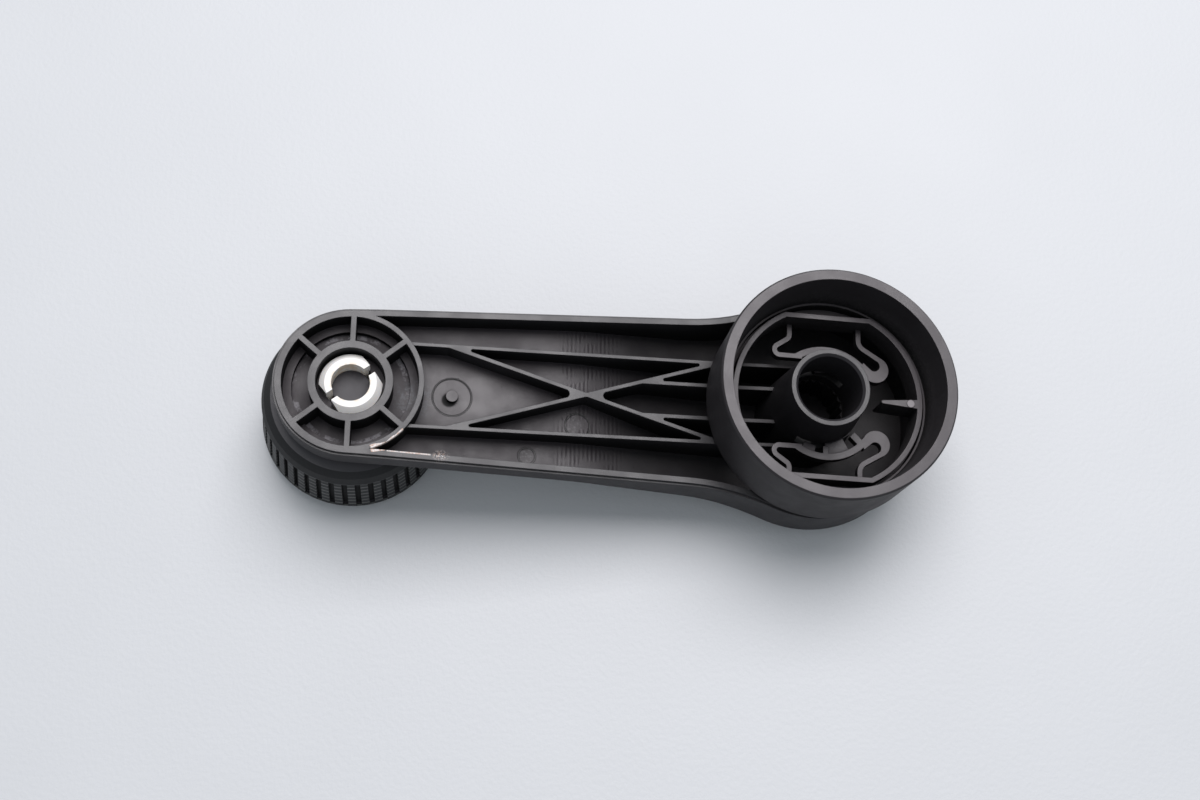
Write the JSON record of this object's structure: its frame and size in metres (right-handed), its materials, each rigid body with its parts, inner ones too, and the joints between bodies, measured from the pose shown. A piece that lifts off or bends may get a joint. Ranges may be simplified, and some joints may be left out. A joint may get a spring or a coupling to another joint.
{
  "type": "window crank handle",
  "caption": "Hand crank for a window winder, back side up: ribbed arm with shaft bore, sliding lock ring with moulded springs, and a free-turning ribbed knob.",
  "frame": {"origin": "on the axis of the shaft bore, level with the arm's rim at the knob end", "axes": "+Z along the bore, out of its mouth and out of the crank's ribbed back; the knob lies towards -X"},
  "size_m": [0.1407, 0.0484, 0.0406],
  "materials": {
    "arm_plastic": "fine moulded grain, satin rims",
    "ring_plastic": "fine moulded grain, satin rim",
    "knob_plastic": "fine matte grain",
    "axle_plastic": "smooth, slightly waxy"
  },
  "bodies": {
    "arm": {"crank_arm": "arm_plastic"},
    "ring": {"lock_ring": "ring_plastic"},
    "knob": {"knob": "knob_plastic", "knob_axle": "axle_plastic"}
  },
  "joints": [
    {"name": "ring_release", "type": "slide", "parent": "arm", "child": "ring", "axis": [-1, 0, 0], "range_m": [0, 0.003]},
    {"name": "knob_spin", "type": "hinge", "parent": "arm", "child": "knob", "pos_m": [-0.096, 0, 0], "axis": [0, 0, 1], "continuous": true}
  ]
}
